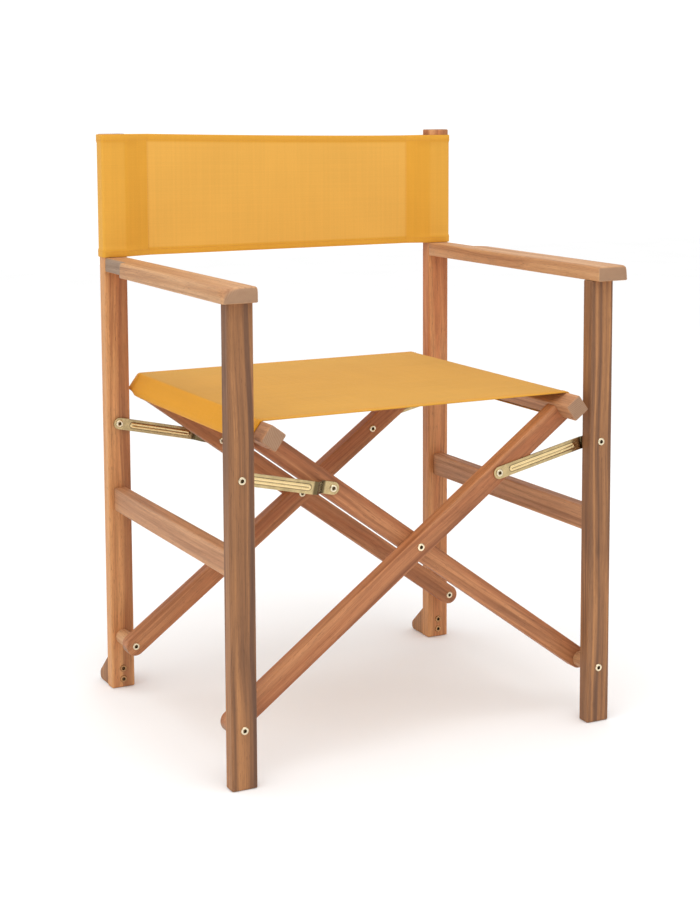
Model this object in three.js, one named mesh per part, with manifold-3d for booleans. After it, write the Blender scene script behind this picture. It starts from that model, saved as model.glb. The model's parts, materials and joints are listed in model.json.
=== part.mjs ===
// Folding director's chair: two wooden side frames, two pairs of crossed bars, two seat rails,
// four steel links, and a cloth seat and back.
// Units are millimetres. +X is the chair's left-to-right, +Y its back, +Z up. The origin is on the
// floor in the middle of the chair's bounding box.
import * as THREE from 'three';
import { mergeVertices } from 'three/addons/utils/BufferGeometryUtils.js';
import Module from 'manifold-3d';

const wasm = await Module();
wasm.setup();

// Overall sizes
const POST_TOP = 860;
const FRAME_WIDTH = 602; // over the outer faces of the legs
const FRAME_DEPTH = 493; // over the front face of the front legs and the back face of the rear legs
const ARM_FRONT_REACH = 16.5; // how far an armrest stands in front of its leg
const FOOT_REACH = 38.5; // how far a foot block stands behind its leg

// Side frames
const LEG_WIDE = 37;
const LEG_THICK = 22;
const ARM_UNDERSIDE = 652;
const ARM_THICK = 21;
const ARM_OVERHANG = 13.5; // outside the leg
const ARM_NECK_LENGTH = 88;
const ARM_NECK_INSET = 1.5; // from the leg's outer face
const ARM_STEP_LENGTH = 18;
const ARM_CORNER = 15; // the outer front corner
const ARM_INNER_CORNER = 9;
const STRETCHER_THICK = 20;
const STRETCHER_BOTTOM = 282;
const STRETCHER_TOP = 317.5;
const FOOT_HEIGHT = 46;
const FOOT_TIP_HEIGHT = 18;
const FOOT_TIP_LENGTH = 6;
const FOOT_NOSE = 8;
const FOOT_INSET = 1; // from the sides of its leg
const FOOT_SCREW_BITE = 15.4;
const FOOT_SCREWS = { low: 13, high: 30 };

// Crossed bars
const BAR_WIDE = 30;
const BAR_THICK = 21;
const PIVOT_HEIGHT = 81.4;
const CROSS_HEIGHT = 289.5;
const FRONT_SPACER = 5.5; // between the front bar and the front left leg
const REAR_SPACER = 17; // between the rear bar and the rear right leg
const BAR_GAP = 0.5;

// Seat rails
const RAIL_SIDE = 27;
const RAIL_X = 238.5;
const RAIL_HEIGHT = 470.6;
const RAIL_FRONT_REACH = 32; // in front of the front bar
const RAIL_END_MARGIN = 6; // of a bar past its rail's middle
const RAIL_CUT_REACH = 40; // of the cuts made round a rail, from its middle

// Links
const LINK_HEIGHT = 417.6;
const LINK_BAR_X = 126.5;
const LINK_WIDE = 18;
const LINK_THICK = 2;
const LINK_STANDOFF = 1.6; // from the leg, to leave room for the rib
const LINK_RIB_WIDE = 5;
const LINK_RIB_HIGH = 1.2;
// Where each link steps from its leg's layer to its bar's, and its rib's ends, from its leg bolt
const LINK_STEP_LENGTH = 6;
const LINK_SHAPES = {
  front_left: { stepFrom: 122, ribFrom: 18, ribTo: 113 },
  front_right: { stepFrom: 14, ribFrom: 30, ribTo: 142 },
  rear_left: { stepFrom: 126, ribFrom: 18, ribTo: 117 },
  rear_right: { stepFrom: 108, ribFrom: 18, ribTo: 99 },
};

// Fasteners
const BOLT_RADIUS = 3;
const HEAD_RADIUS = 5.5;
const HEAD_PROUD = 1.6;
const HEAD_SINK = 2; // into the wood
const SOCKET_RADIUS = 2.2;
const SOCKET_DEPTH = 2;
const NUT_THICK = 5;
const CENTRE_BOLT_END = 2; // past its nut
const LINK_SCREW_BITE = 18; // into a rear bar
const LINK_NUT_RADIUS = 5;
const LINK_NUT_THICK = 3;
const BLIND_END = 5; // of the rear leg left behind a bolt's tip
const SCREW_RADIUS = 2;
const SPACER_RADIUS = 11.5;
const CLEARANCE = 0.3;
const OVERRUN = 1; // of a cutting tool past a face

// Cloth
const CLOTH = 1;
const SEAT_BACK_REACH = 36; // behind the rear bars
const SEAT_FRONT_REACH = 1; // in front of the front bars
const SEAT_PANEL_HALF = 236.5;
const RAIL_BACK_REACH = 5; // behind the seat cloth
const BACK_BOTTOM = 673.5;
const BACK_TOP = 851;

const WOOD_EDGE = 1.6;
const LONG_EDGE = 3; // where the rounding of a long edge starts, from the corner
const ARM_EDGE = 3;
const CORNER_STEPS = 4;

const midY = (ARM_FRONT_REACH - FOOT_REACH) / 2;
const frontFace = midY - FRAME_DEPTH / 2;
const frontLegBack = frontFace + LEG_THICK;
const rearFace = midY + FRAME_DEPTH / 2;
const rearLegFront = rearFace - LEG_THICK;
const legX = (FRAME_WIDTH - LEG_WIDE) / 2;
const legInner = FRAME_WIDTH / 2 - LEG_WIDE;
const barAngle = Math.atan2(CROSS_HEIGHT - PIVOT_HEIGHT, legX);
const halfBar = Math.hypot(CROSS_HEIGHT - PIVOT_HEIGHT, legX);
const linkBarZ = CROSS_HEIGHT + LINK_BAR_X * Math.tan(barAngle);

// The four bars' spans in Y, front to back. The first and third rise to the right.
const frontBars = [frontLegBack + FRONT_SPACER, frontLegBack + FRONT_SPACER + BAR_THICK + BAR_GAP];
const rearBars = [
  rearLegFront - REAR_SPACER - 2 * BAR_THICK - BAR_GAP,
  rearLegFront - REAR_SPACER - BAR_THICK,
];
const seatFront = frontBars[0] - SEAT_FRONT_REACH;
const seatBack = rearBars[1] + BAR_THICK + SEAT_BACK_REACH;
const railFront = frontBars[0] - RAIL_FRONT_REACH;
const railBack = seatBack + RAIL_BACK_REACH;

function material(name, color, roughness, metalness) {
  return new THREE.MeshStandardMaterial({ name, color, roughness, metalness });
}
const woodPale = material('wood_pale', 0xb98558, 0.6, 0);
const woodWarm = material('wood_warm', 0xa9683d, 0.6, 0);
const steel = material('plated_steel', 0xbfa870, 0.35, 1);
const cloth = material('canvas', 0xe3a63c, 0.9, 0);

// Geometry helpers
function solidOf(geometry) {
  geometry.deleteAttribute('normal');
  geometry.deleteAttribute('uv');
  const merged = mergeVertices(geometry, 1e-4);
  return new wasm.Manifold(
    new wasm.Mesh({
      numProp: 3,
      vertProperties: new Float32Array(merged.attributes.position.array),
      triVerts: new Uint32Array(merged.index.array),
    }),
  );
}

function meshOf(name, solid, material) {
  const made = solid.getMesh();
  const geometry = new THREE.BufferGeometry();
  const points = new Float32Array(made.vertProperties);
  geometry.setAttribute('position', new THREE.BufferAttribute(points, 3));
  geometry.setIndex(new THREE.BufferAttribute(new Uint32Array(made.triVerts), 1));
  geometry.computeVertexNormals();
  const mesh = new THREE.Mesh(geometry, material);
  mesh.name = name;
  return mesh;
}

// An outline swept along an axis, with its edges softened by the given amount.
function sweep(outline, length, soft) {
  return new THREE.ExtrudeGeometry(outline, {
    depth: length - 2 * soft,
    bevelEnabled: soft > 0,
    bevelThickness: soft,
    bevelSize: soft,
    bevelOffset: -soft,
    bevelSegments: 2,
    curveSegments: 10,
  }).translate(0, 0, soft);
}

// An outline in X and Y, swept up.
function upward(outline, bottom, top, soft = WOOD_EDGE) {
  return solidOf(sweep(outline, top - bottom, soft).translate(0, 0, bottom));
}

// An outline in Y and Z, swept along +X.
function sideways(outline, left, right, soft = WOOD_EDGE) {
  const turn = new THREE.Matrix4().makeBasis(
    new THREE.Vector3(0, 1, 0), new THREE.Vector3(0, 0, 1), new THREE.Vector3(1, 0, 0),
  );
  return solidOf(sweep(outline, right - left, soft).applyMatrix4(turn).translate(left, 0, 0));
}

// An outline in X and Z, swept along Y.
function backward(outline, front, back, soft = WOOD_EDGE) {
  const turn = new THREE.Matrix4().makeBasis(
    new THREE.Vector3(1, 0, 0), new THREE.Vector3(0, 0, 1), new THREE.Vector3(0, -1, 0),
  );
  return solidOf(sweep(outline, back - front, soft).applyMatrix4(turn).translate(0, back, 0));
}

// A closed outline through the points, with its corners rounded off.
function polygon(points, round = 0) {
  const corners = points.map(([a, b]) => new THREE.Vector2(a, b));
  if (round === 0) return new THREE.Shape(corners);
  return new THREE.Shape(corners.flatMap((corner, i) => {
    const toward = (other) => other.clone().sub(corner).setLength(round).add(corner);
    const from = toward(corners.at(i - 1));
    const to = toward(corners[(i + 1) % corners.length]);
    return new THREE.QuadraticBezierCurve(from, corner, to).getPoints(CORNER_STEPS);
  }));
}

function rectangle(left, right, bottom, top, round = 0) {
  return polygon([[left, bottom], [right, bottom], [right, top], [left, top]], round);
}

// A round bar along Y.
function rod(x, z, radius, front, back, segments = 20) {
  const bar = new THREE.CylinderGeometry(radius, radius, back - front, segments);
  return solidOf(bar.translate(x, (front + back) / 2, z));
}

// The four edges of a square bar that is turned in the X-Z plane, as a closed outline.
function turnedSquare(x, z, half, angle, round) {
  const corners = [[-half, -half], [half, -half], [half, half], [-half, half]];
  return polygon(corners.map(([a, b]) => [
    x + a * Math.cos(angle) - b * Math.sin(angle),
    z + a * Math.sin(angle) + b * Math.cos(angle),
  ]), round);
}

// A bolt along Y with a socket in its head. The head's outer face looks towards -Y.
function bolt(x, z, headFace, tip, radius = BOLT_RADIUS, headSink = HEAD_SINK) {
  const head = rod(x, z, HEAD_RADIUS, headFace, headFace + HEAD_PROUD + headSink, 24);
  const shank = rod(x, z, radius, headFace + HEAD_PROUD, tip);
  const socket = rod(x, z, SOCKET_RADIUS, headFace - OVERRUN, headFace + SOCKET_DEPTH, 6);
  return head.add(shank).subtract(socket);
}

// What a bolt's head and shank take out of the wood around them.
function boltRoom(x, z, woodFace, tip, radius = BOLT_RADIUS) {
  const [outside, bottom] = [woodFace - OVERRUN, woodFace + HEAD_SINK + CLEARANCE];
  const recess = rod(x, z, HEAD_RADIUS + CLEARANCE, outside, bottom, 24);
  return recess.add(rod(x, z, radius + CLEARANCE, outside, tip));
}

const chair = new THREE.Group();
chair.name = 'folding_chair';
const add = (name, solid, material) => chair.add(meshOf(name, solid, material));

// Side frames. side is -1 on the left and 1 on the right.
function sideFrame(side, word) {
  const innerX = side * legInner;
  const outerX = side * FRAME_WIDTH / 2;
  const [left, right] = [Math.min(innerX, outerX), Math.max(innerX, outerX)];
  const x = side * legX;
  const rearBar = side < 0 ? rearBars[0] : rearBars[1];
  const frontBar = side < 0 ? frontBars[0] : frontBars[1];

  const frontPlan = rectangle(left, right, frontFace, frontLegBack, LONG_EDGE);
  let front = upward(frontPlan, 0, ARM_UNDERSIDE - CLEARANCE);
  for (const z of [PIVOT_HEIGHT, LINK_HEIGHT]) {
    front = front.subtract(boltRoom(x, z, frontFace, frontLegBack + OVERRUN));
  }
  add(`leg_front_${word}`, front, woodPale);

  let rear = upward(rectangle(left, right, rearLegFront, rearFace, LONG_EDGE), 0, POST_TOP);
  for (const [z, radius] of [[PIVOT_HEIGHT, BOLT_RADIUS], [LINK_HEIGHT, SCREW_RADIUS]]) {
    const deep = rearFace - BLIND_END + OVERRUN;
    rear = rear.subtract(rod(x, z, radius + CLEARANCE, rearLegFront - OVERRUN, deep));
  }
  const wedge = new THREE.Shape();
  const [footFront, footBack] = [rearFace + CLEARANCE, rearFace + FOOT_REACH];
  wedge.moveTo(footFront, 0);
  wedge.lineTo(footBack - FOOT_NOSE, 0);
  wedge.quadraticCurveTo(footBack, 0, footBack, FOOT_NOSE);
  wedge.quadraticCurveTo(
    footBack, FOOT_TIP_HEIGHT - FOOT_NOSE / 2, footBack - FOOT_TIP_LENGTH, FOOT_TIP_HEIGHT,
  );
  wedge.lineTo(footFront, FOOT_HEIGHT);
  let foot = sideways(wedge, left + FOOT_INSET, right - FOOT_INSET);
  for (const [level, z] of Object.entries(FOOT_SCREWS)) {
    const tip = rearFace + FOOT_SCREW_BITE;
    rear = rear.subtract(boltRoom(x, z, rearLegFront, rearFace + OVERRUN, SCREW_RADIUS));
    foot = foot.subtract(rod(x, z, SCREW_RADIUS + CLEARANCE, rearFace - OVERRUN, tip + OVERRUN));
    add(`foot_screw_${level}_${word}`,
      bolt(x, z, rearLegFront - HEAD_PROUD, tip, SCREW_RADIUS), steel);
  }
  add(`leg_rear_${word}`, rear, woodPale);
  add(`foot_${word}`, foot, woodPale);

  const railing = rectangle(
    x - STRETCHER_THICK / 2, x + STRETCHER_THICK / 2, STRETCHER_BOTTOM, STRETCHER_TOP, LONG_EDGE,
  );
  const [railingFront, railingBack] = [frontLegBack + CLEARANCE, rearLegFront - CLEARANCE];
  add(`stretcher_${word}`, backward(railing, railingFront, railingBack), woodPale);

  // Pivot bolts of the crossed bars, and the wooden spacers they pass through
  add(`pivot_bolt_front_${word}`,
    bolt(x, PIVOT_HEIGHT, frontFace - HEAD_PROUD, frontBar + BAR_THICK + OVERRUN), steel);
  add(`pivot_bolt_rear_${word}`,
    bolt(x, PIVOT_HEIGHT, rearBar - HEAD_PROUD, rearFace - BLIND_END), steel);
  const spacers = [
    ['front', frontLegBack, frontBar],
    ['rear', rearBar + BAR_THICK, rearLegFront],
  ];
  for (const [place, from, to] of spacers) {
    const ring = rod(x, PIVOT_HEIGHT, SPACER_RADIUS, from + CLEARANCE, to - CLEARANCE, 28);
    const bore = rod(x, PIVOT_HEIGHT, BOLT_RADIUS + CLEARANCE, from - OVERRUN, to + OVERRUN);
    add(`spacer_${place}_${word}`, ring.subtract(bore), woodPale);
  }

  // Bolts that carry the links on the legs
  const frontTip = frontLegBack + LINK_STANDOFF + LINK_THICK + HEAD_PROUD;
  add(`link_bolt_front_${word}`, bolt(x, LINK_HEIGHT, frontFace - HEAD_PROUD, frontTip), steel);
  const rearHead = rearLegFront - LINK_STANDOFF - LINK_THICK - CLEARANCE - HEAD_PROUD;
  add(`link_bolt_rear_${word}`,
    bolt(x, LINK_HEIGHT, rearHead, rearFace - BLIND_END, SCREW_RADIUS, 0), steel);
}

// The right armrest's plan. Its neck is as wide as the leg, then it steps out to its full width.
function armrest() {
  const tipY = frontFace - ARM_FRONT_REACH;
  const rearY = rearLegFront - CLEARANCE;
  const neckX = FRAME_WIDTH / 2 - ARM_NECK_INSET;
  const outX = FRAME_WIDTH / 2 + ARM_OVERHANG;
  const neckEnd = rearY - ARM_NECK_LENGTH;
  const plan = new THREE.Shape();
  plan.moveTo(legInner, tipY + ARM_INNER_CORNER);
  plan.quadraticCurveTo(legInner, tipY, legInner + ARM_INNER_CORNER, tipY);
  plan.lineTo(outX - ARM_CORNER, tipY);
  plan.quadraticCurveTo(outX, tipY, outX, tipY + ARM_CORNER);
  plan.lineTo(outX, neckEnd - ARM_STEP_LENGTH);
  plan.bezierCurveTo(
    outX, neckEnd - ARM_STEP_LENGTH / 3, neckX + ARM_STEP_LENGTH / 4, neckEnd - ARM_STEP_LENGTH / 4,
    neckX, neckEnd,
  );
  plan.lineTo(neckX, rearY);
  plan.lineTo(legInner, rearY);
  return upward(plan, ARM_UNDERSIDE, ARM_UNDERSIDE + ARM_THICK, ARM_EDGE);
}

// A solid turned about the Y axis from level to the slope of a bar that rises to the right.
function turned(solid) {
  return solid.rotate([0, -THREE.MathUtils.radToDeg(barAngle), 0]);
}

// A crossed bar that rises to the right, about the lower left pivot, notched for the seat rail.
function crossBar(front) {
  const reach = halfBar + Math.hypot(RAIL_X, RAIL_HEIGHT - CROSS_HEIGHT) + RAIL_END_MARGIN;
  const half = BAR_WIDE / 2;
  const outline = new THREE.Shape();
  outline.moveTo(0, -half);
  outline.lineTo(reach, -half);
  outline.lineTo(reach, half);
  outline.lineTo(0, half);
  outline.absarc(0, 0, half, Math.PI / 2, Math.PI * 1.5, false);
  const [before, behind] = [front - OVERRUN, front + BAR_THICK + OVERRUN];
  const bar = turned(backward(outline, front, front + BAR_THICK)).translate([-legX, 0, PIVOT_HEIGHT]);
  const [seatAt, past] = [-RAIL_SIDE / 2 - CLEARANCE, RAIL_CUT_REACH];
  const notch = turned(backward(rectangle(seatAt, past, seatAt, past), before, behind, 0));
  return bar.subtract(notch.translate([RAIL_X, 0, RAIL_HEIGHT]))
    .subtract(rod(-legX, PIVOT_HEIGHT, BOLT_RADIUS + CLEARANCE, before, behind))
    .subtract(rod(0, CROSS_HEIGHT, BOLT_RADIUS + CLEARANCE, before, behind));
}

// A link that runs from the left leg down to a bar. It lies against the leg, steps to the bar's
// layer, and has a pressed rib along its longer flat. Layers are the strip's front faces in Y.
function link({ legLayer, barLayer, stepFrom, ribFrom, ribTo }) {
  const dx = legX - LINK_BAR_X;
  const dz = linkBarZ - LINK_HEIGHT;
  const length = Math.hypot(dx, dz);
  const end = LINK_WIDE / 2;
  const t = LINK_THICK;
  const stepTo = stepFrom + Math.max(Math.abs(barLayer - legLayer), LINK_STEP_LENGTH);
  // Half of what a 45 degree step takes off one face of the strip and adds to the other
  const lean = Math.sign(barLayer - legLayer) * t * (Math.SQRT2 - 1);
  const strip = polygon([
    [-end, legLayer], [stepFrom + lean, legLayer], [stepTo + lean, barLayer], [length + end, barLayer],
    [length + end, barLayer + t], [stepTo - lean, barLayer + t], [stepFrom - lean, legLayer + t],
    [-end, legLayer + t],
  ]);
  const outline = new THREE.Shape();
  outline.absarc(0, 0, end, Math.PI / 2, Math.PI * 1.5, false);
  outline.absarc(length, 0, end, -Math.PI / 2, Math.PI / 2, false);
  const low = Math.min(legLayer, barLayer) - OVERRUN;
  const high = Math.max(legLayer, barLayer) + t + OVERRUN;
  let body = upward(strip, -end, end, 0).intersect(backward(outline, low, high, 0));
  const ribLayer = ribFrom < stepFrom ? legLayer : barLayer;
  const rib = rod(0, 0, LINK_RIB_WIDE / 2, ribFrom, ribTo, 16).rotate([0, 0, -90])
    .scale([1, 2 * LINK_RIB_HIGH / LINK_RIB_WIDE, 1]).translate([0, ribLayer, 0]);
  body = body.add(rib.subtract(backward(rectangle(0, length, -end, end), ribLayer + t / 2, high, 0)));
  body = body.subtract(rod(0, 0, BOLT_RADIUS + CLEARANCE, low, high));
  body = body.subtract(rod(length, 0, SCREW_RADIUS + CLEARANCE, low, high));
  const drop = THREE.MathUtils.radToDeg(Math.atan2(-dz, dx));
  return body.rotate([0, drop, 0]).translate([-legX, 0, LINK_HEIGHT]);
}

// The seat rail's outline, grown on every side.
function railOutline(spread = 0) {
  return turnedSquare(RAIL_X, RAIL_HEIGHT, RAIL_SIDE / 2 + spread, barAngle, LONG_EDGE + spread);
}

// The cloth wrapped round the right rail: over its top corner, down its outer side and under it.
// It's notched below where each bar carries the rail.
function seatSleeve(barFronts) {
  const half = RAIL_SIDE / 2;
  const inside = backward(railOutline(CLEARANCE), seatFront - OVERRUN, seatBack + OVERRUN, 0);
  const cut = (left, right, bottom, top, front, back) => turned(
    backward(rectangle(left, right, bottom, top), front, back, 0),
  ).translate([RAIL_X, 0, RAIL_HEIGHT]);
  let wrap = backward(railOutline(CLEARANCE + CLOTH), seatFront, seatBack, 0).subtract(inside)
    .subtract(cut(-RAIL_CUT_REACH, half - LONG_EDGE, -half, RAIL_CUT_REACH,
      seatFront - OVERRUN, seatBack + OVERRUN));
  for (const front of barFronts) {
    wrap = wrap.subtract(cut(-RAIL_CUT_REACH, RAIL_END_MARGIN + OVERRUN, -RAIL_CUT_REACH, -half + OVERRUN,
      front - OVERRUN, front + BAR_THICK + OVERRUN));
  }
  return wrap;
}

// The left post's cloth sleeve.
function backSleeve() {
  const ring = (spread, bottom, top) => upward(
    rectangle(-FRAME_WIDTH / 2 - spread, -legInner + spread, rearLegFront - spread, rearFace + spread),
    bottom, top, 0,
  );
  const inside = ring(CLEARANCE, BACK_BOTTOM - OVERRUN, BACK_TOP + OVERRUN);
  return ring(CLEARANCE + CLOTH, BACK_BOTTOM, BACK_TOP).subtract(inside);
}

sideFrame(-1, 'left');
sideFrame(1, 'right');
add('armrest_right', armrest(), woodPale);
add('armrest_left', armrest().mirror([1, 0, 0]), woodPale);

// Crossed bars, with room for the bolts and screws whose heads sink into them
const sunk = (bar, front, x, z, depth, radius) => bar
  .subtract(boltRoom(x, z, front, front + depth, radius));
for (const [place, bars] of [['front', frontBars], ['rear', rearBars]]) {
  let right = sunk(crossBar(bars[0]), bars[0], 0, CROSS_HEIGHT, BAR_THICK);
  let left = crossBar(bars[1]).mirror([1, 0, 0]);
  if (place === 'rear') {
    right = sunk(right, bars[0], -legX, PIVOT_HEIGHT, BAR_THICK);
    left = sunk(left, bars[1], legX, PIVOT_HEIGHT, BAR_THICK);
    right = sunk(right, bars[0], LINK_BAR_X, linkBarZ, LINK_SCREW_BITE + OVERRUN, SCREW_RADIUS);
    left = sunk(left, bars[1], -LINK_BAR_X, linkBarZ, LINK_SCREW_BITE + OVERRUN, SCREW_RADIUS);
  }
  add(`bar_${place}_rising_right`, right, woodWarm);
  add(`bar_${place}_rising_left`, left, woodWarm);

  const nutFront = bars[1] + BAR_THICK + CLEARANCE;
  const nutBack = nutFront + NUT_THICK;
  const bore = rod(0, CROSS_HEIGHT, BOLT_RADIUS + CLEARANCE, nutFront - OVERRUN, nutBack + OVERRUN);
  add(`centre_bolt_${place}`, bolt(0, CROSS_HEIGHT, bars[0] - HEAD_PROUD, nutBack + CENTRE_BOLT_END), steel);
  add(`centre_nut_${place}`,
    rod(0, CROSS_HEIGHT, HEAD_RADIUS, nutFront, nutBack, 6).subtract(bore), steel);
}

// Seat rails
const rail = backward(railOutline(), railFront, railBack);
add('seat_rail_right', rail, woodWarm);
add('seat_rail_left', rail.mirror([1, 0, 0]), woodWarm);

// Links. The front ones lie in front of their bars and the rear ones behind them. Each link is
// fastened to its bar by a screw: the front screws turn with the links, and the rear ones with
// the bars.
const frontLegLayer = frontLegBack + LINK_STANDOFF;
const rearLegLayer = rearLegFront - LINK_STANDOFF - LINK_THICK;
const beforeBar = (front) => front - CLEARANCE - LINK_THICK;
const behindBar = (front) => front + BAR_THICK + CLEARANCE;
const linkLayers = {
  front_left: [frontLegLayer, beforeBar(frontBars[1])],
  front_right: [frontLegLayer, beforeBar(frontBars[0])],
  rear_left: [rearLegLayer, behindBar(rearBars[1])],
  rear_right: [rearLegLayer, behindBar(rearBars[0])],
};
for (const [name, [legLayer, barLayer]] of Object.entries(linkLayers)) {
  const isLeft = name.endsWith('left');
  const made = link({ legLayer, barLayer, ...LINK_SHAPES[name] });
  add(`link_${name}`, isLeft ? made : made.mirror([1, 0, 0]), steel);
  const x = isLeft ? -LINK_BAR_X : LINK_BAR_X;
  if (name.startsWith('front')) {
    const head = barLayer - CLEARANCE - HEAD_PROUD;
    add(`link_screw_${name}`,
      bolt(x, linkBarZ, head, barLayer + LINK_THICK, SCREW_RADIUS, 0), steel);
  } else {
    const barFront = barLayer - CLEARANCE - BAR_THICK;
    add(`link_screw_${name}`,
      bolt(x, linkBarZ, barFront - HEAD_PROUD, barFront + LINK_SCREW_BITE, SCREW_RADIUS), steel);
    const nutFront = barLayer + LINK_THICK + CLEARANCE;
    add(`link_nut_${name}`,
      rod(x, linkBarZ, LINK_NUT_RADIUS, nutFront, nutFront + LINK_NUT_THICK, 6), steel);
  }
}

// Cloth
add('seat_sleeve_right', seatSleeve([frontBars[0], rearBars[0]]), cloth);
add('seat_sleeve_left', seatSleeve([frontBars[1], rearBars[1]]).mirror([1, 0, 0]), cloth);
const seatTop = RAIL_HEIGHT + (RAIL_SIDE / 2) * (Math.cos(barAngle) + Math.sin(barAngle)) + CLOTH;
const seatHalf = upward(
  rectangle(-SEAT_PANEL_HALF, -CLEARANCE / 2, seatFront, seatBack), seatTop - CLOTH, seatTop, 0,
);
add('seat_half_left', seatHalf, cloth);
add('seat_half_right', seatHalf.mirror([1, 0, 0]), cloth);
add('back_sleeve_left', backSleeve(), cloth);
add('back_sleeve_right', backSleeve().mirror([1, 0, 0]), cloth);
const backY = rearFace - LEG_THICK / 2;
const backHalf = upward(rectangle(
  -legInner + 2 * CLEARANCE + CLOTH, -CLEARANCE / 2, backY - CLOTH / 2, backY + CLOTH / 2,
), BACK_BOTTOM, BACK_TOP, 0);
add('back_half_left', backHalf, cloth);
add('back_half_right', backHalf.mirror([1, 0, 0]), cloth);

export default chair;
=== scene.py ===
import json
import math
import random

import bmesh
import bpy
from mathutils import Matrix, Vector


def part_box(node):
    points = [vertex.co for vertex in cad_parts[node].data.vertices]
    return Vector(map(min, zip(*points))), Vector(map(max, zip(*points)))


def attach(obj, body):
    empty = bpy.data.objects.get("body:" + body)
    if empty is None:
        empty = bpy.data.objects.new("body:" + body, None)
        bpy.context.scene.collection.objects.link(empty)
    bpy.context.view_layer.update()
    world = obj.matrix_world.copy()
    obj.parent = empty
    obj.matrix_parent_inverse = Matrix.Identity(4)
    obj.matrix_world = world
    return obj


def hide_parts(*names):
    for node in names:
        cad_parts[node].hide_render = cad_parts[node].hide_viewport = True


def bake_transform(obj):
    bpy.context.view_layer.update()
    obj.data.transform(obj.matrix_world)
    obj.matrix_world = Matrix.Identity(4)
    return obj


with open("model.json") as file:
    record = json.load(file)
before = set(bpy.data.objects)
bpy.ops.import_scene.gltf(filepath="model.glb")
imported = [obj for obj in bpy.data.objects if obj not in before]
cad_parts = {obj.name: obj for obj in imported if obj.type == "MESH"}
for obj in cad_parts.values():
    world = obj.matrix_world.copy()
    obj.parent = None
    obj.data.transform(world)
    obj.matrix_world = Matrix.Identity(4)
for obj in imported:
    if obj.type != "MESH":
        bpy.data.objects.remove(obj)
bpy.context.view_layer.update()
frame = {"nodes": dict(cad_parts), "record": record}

# ---------------------------------------------------------------------------------------------
# Sizes, in metres
# ---------------------------------------------------------------------------------------------
# Cloth
CLOTH = 0.001
LAYER_GAP = 0.00105  # between the middles of two layers of cloth
STAND_OFF = 0.0009  # from the wood to the middle of the cloth round it
PATH_STEP, ROW_STEP, SEAT_ROW_STEP = 0.006, 0.007, 0.009  # of the grids that cloth is made on
CORNER_STEPS, HEM_STEPS = 6, 3  # in a rounded corner of a path, and across a hem
HEM_SOFT = 0.0025  # over which the painted shade of two-thick cloth, and of the seat's sides, fades out
EDGE_SOFT = 0.002  # over which the look of doubled cloth fades out
HEM_PUFF, SLEEVE_PUFF = 0.0009, 0.0012  # how far a hem stands out on wood, and at a sleeve's end
STITCH_PITCH, STITCH_LONG, STITCH_THICK = 0.0042, 0.0030, 0.0006
STITCH_IN = 0.0016  # from a hem's or seam's inner edge to its stitches
STITCH_RISE = 0.2  # of its thickness, how far a stitch's middle stands off the cloth
SEAM_STEP = 0.004  # between the points of a seam's line

# Seat cloth
RAIL_HALF = 0.0135
SEAT_HEM = 0.011
SEAT_HEM_SHADE = 0.35  # how much painted shade its hems get, for less light through two thicknesses
SIDE_SOFT = 0.008  # over which its hems thicken, round a rail's top corner
UNDER_DROP = 0.012  # below a rail's middle, where its underside starts
WINDOW_GAP = 0.0015  # round a bar, in the cloth under a rail
CORNER_CUT = 0.024  # the length of cloth cut away under a rail, at the corners
DRAWN_END, DRAWN_SOFT = 0.006, 0.014  # cloth drawn up to the rail at each end, and beyond that

# Back cloth
BACK_HEM = 0.009
BACK_SEAM = 0.040  # from a post's inner face to the sewn seam
BACK_CLIMB = 0.0082  # how much higher the top edge is at the left post
SLEEVE_SOFT = 0.03  # over which a sleeve's hems thicken
SLEEVE_SKIP = 0.004  # from the seam to where they start to
POST_SOFT, POST_SHADE = 0.003, 0.65  # over which a sleeve meets its post, and how much painted shade it gets on the post

# Links
LINK_THICK, LINK_HALF_WIDE = 0.002, 0.009
LINK_OFF_LEG, LINK_OFF_BAR = 0.0016, 0.0003
LINK_STEP, LINK_EDGE = 0.0062, 0.00035
LINK_PITCH, LINK_ROWS, LINK_END_ROWS = 0.001, 24, 9  # of the grid that a link is made on
BEAD_HALF, BEAD_SLOPE, BEAD_HIGH = 0.0024, 0.0020, 0.0011
BEAD_DIP = 0.6  # of its height, along the middle of a bead
BEAD_FOOT_SHADE = 0.0006  # the width of the line of painted shade round a bead's foot
BEAD_CHANNEL = 0.6  # of its half width, the part of its dip that gets painted shade
BEAD_HIGHLIGHT, STEP_SHADE = 1.1, 0.9  # how strong the painted highlight on a bead's crests is, and the painted shade on a step
# Where each link steps from its leg's layer to its bar's, and its bead's ends, from its leg bolt
LINK_SHAPES = {
    "front_left": (0.122, 0.019, 0.112), "front_right": (0.014, 0.031, 0.141),
    "rear_left": (0.126, 0.019, 0.116), "rear_right": (0.108, 0.019, 0.098),
}

# Fasteners
HEAD_PROUD, HEAD_SINK = 0.0016, 0.002
BOLT_RADIUS, SCREW_RADIUS, SOCKET_HALF = 0.003, 0.002, 0.0025
SOCKET_MOUTH, SOCKET_FLOOR = 0.0004, 0.0022  # behind a head's face
SOCKET_WALL = 0.0005  # of metal left behind a socket, at least
# A button head, outwards from its socket: depth behind its face, and share of its radius
HEAD_PROFILE = ((0.0001, 0.57), (0.0, 0.66), (0.00005, 0.78), (0.00022, 0.89),
                (0.00055, 0.965), (0.0011, 1.0))
TIP_BEVEL, NUT_BEVEL, BORE_GAP = 0.0006, 0.0005, 0.0002
TURNED_SIDES = 36

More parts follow.
